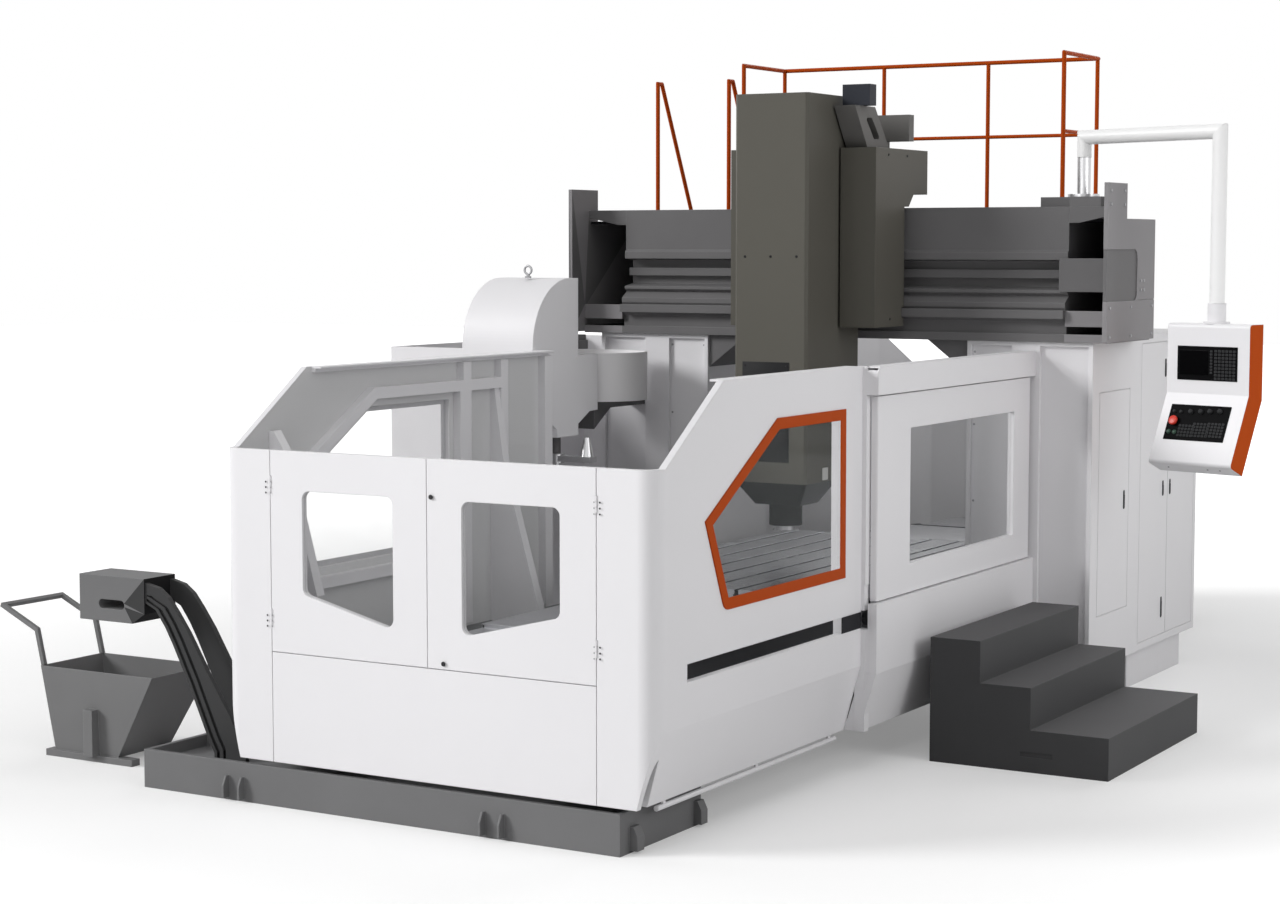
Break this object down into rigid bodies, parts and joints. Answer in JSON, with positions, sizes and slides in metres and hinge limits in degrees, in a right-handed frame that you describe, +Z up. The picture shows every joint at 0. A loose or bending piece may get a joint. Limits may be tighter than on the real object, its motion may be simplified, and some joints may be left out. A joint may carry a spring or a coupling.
{
  "type": "gantry machining center",
  "caption": "Double-column machining center with a moving table, crossbeam, ram head, sheet-metal guard, tool magazine, chip conveyor and a swinging control pendant.",
  "frame": {"origin": "floor point under the spindle axis", "axes": "+X across the machine to the operator's right, +Y from the front doors to the rear, +Z up"},
  "size_m": [6.535, 9.27, 4.4548],
  "materials": {
    "white_sheet": "satin",
    "inner_sheet": "satin",
    "grey_cast": "satin",
    "beam_grey": "satin",
    "olive_cover": "satin",
    "orange_paint": "satin",
    "charcoal": "matt",
    "trough_grey": "satin",
    "ground_steel": "ground",
    "table_iron": "ground",
    "cover_steel": "brushed",
    "window_glass": "clear",
    "dark_steel": "blackened"
  },
  "bodies": {
    "machine": {"bed": "grey_cast", "bed_rails": "ground_steel", "way_covers_fixed": "cover_steel", "right_column": "white_sheet", "left_column": "white_sheet", "control_cabinet": "white_sheet", "crossbeam": "beam_grey", "beam_rails": "ground_steel", "beam_ends": "beam_grey", "chip_floor": "inner_sheet", "front_sill_panel": "white_sheet", "right_front_guard": "white_sheet", "left_front_guard": "white_sheet", "side_window_frames": "orange_paint", "side_window_glass": "window_glass", "side_doorway": "white_sheet", "rear_guard": "white_sheet", "chip_trough": "trough_grey", "chip_conveyor": "trough_grey", "chip_cart": "trough_grey", "steps": "charcoal", "platform_deck": "beam_grey", "railing": "orange_paint", "magazine_cover": "white_sheet", "magazine_bracket": "dark_steel", "arm_post": "trough_grey"},
    "table": {"table": "table_iron", "table_blocks": "ground_steel", "way_covers_moving": "cover_steel"},
    "front_cover": {"front_cover_middle": "cover_steel"},
    "rear_cover": {"rear_cover_middle": "cover_steel"},
    "saddle": {"saddle": "olive_cover"},
    "ram": {"ram": "olive_cover", "ram_rails": "ground_steel"},
    "spindle": {"spindle": "ground_steel"},
    "right_door": {"front_right_door": "white_sheet", "front_right_glass": "window_glass"},
    "left_door": {"front_left_door": "white_sheet", "front_left_glass": "window_glass"},
    "side_door": {"side_door": "white_sheet", "side_door_glass": "window_glass"},
    "tool_drum": {"tool_drum": "white_sheet"},
    "tool_arm": {"tool_arm": "ground_steel"},
    "pendant_arm": {"pendant_arm": "white_sheet"},
    "pendant": {"pendant": "white_sheet"}
  },
  "joints": [
    {"name": "table_slide", "type": "slide", "parent": "machine", "child": "table", "axis": [0, 1, 0], "range_m": [-1, 1]},
    {"name": "front_cover_slide", "type": "slide", "parent": "machine", "child": "front_cover", "axis": [0, 1, 0], "range_m": [-0.5, 0.5]},
    {"name": "rear_cover_slide", "type": "slide", "parent": "machine", "child": "rear_cover", "axis": [0, 1, 0], "range_m": [-0.5, 0.5]},
    {"name": "saddle_slide", "type": "slide", "parent": "machine", "child": "saddle", "axis": [1, 0, 0], "range_m": [-0.72, 1]},
    {"name": "ram_slide", "type": "slide", "parent": "saddle", "child": "ram", "axis": [0, 0, 1], "range_m": [-0.15, 0.85]},
    {"name": "spindle_turn", "type": "hinge", "parent": "ram", "child": "spindle", "pos_m": [0, 0, 1.19], "axis": [0, 0, 1], "continuous": true},
    {"name": "right_door_hinge", "type": "hinge", "parent": "machine", "child": "right_door", "pos_m": [1.048, -4.15, 1.42], "axis": [0, 0, 1], "range_deg": [0, 115]},
    {"name": "left_door_hinge", "type": "hinge", "parent": "machine", "child": "left_door", "pos_m": [-1.048, -4.15, 1.42], "axis": [0, 0, -1], "range_deg": [0, 115]},
    {"name": "side_door_slide", "type": "slide", "parent": "machine", "child": "side_door", "axis": [0, -1, 0], "range_m": [0, 1.9]},
    {"name": "drum_turn", "type": "hinge", "parent": "machine", "child": "tool_drum", "pos_m": [-1.61, 0.25, 2.17], "axis": [0, 0, 1], "continuous": true},
    {"name": "tool_arm_turn", "type": "hinge", "parent": "machine", "child": "tool_arm", "pos_m": [-1.58, -0.397, 1.6], "axis": [0, 0, 1], "range_deg": [-180, 180]},
    {"name": "pendant_arm_swing", "type": "hinge", "parent": "machine", "child": "pendant_arm", "pos_m": [1.686, 1.05, 3.7], "axis": [0, 0, 1], "range_deg": [-60, 60]},
    {"name": "pendant_turn", "type": "hinge", "parent": "pendant_arm", "child": "pendant", "pos_m": [2.74, 0.6263, 2.66], "axis": [0, 0, 1], "range_deg": [-80, 80]}
  ],
  "couplings": [
    {"joint": "front_cover_slide", "follows": "table_slide", "ratio": 0.5},
    {"joint": "rear_cover_slide", "follows": "table_slide", "ratio": 0.5}
  ]
}
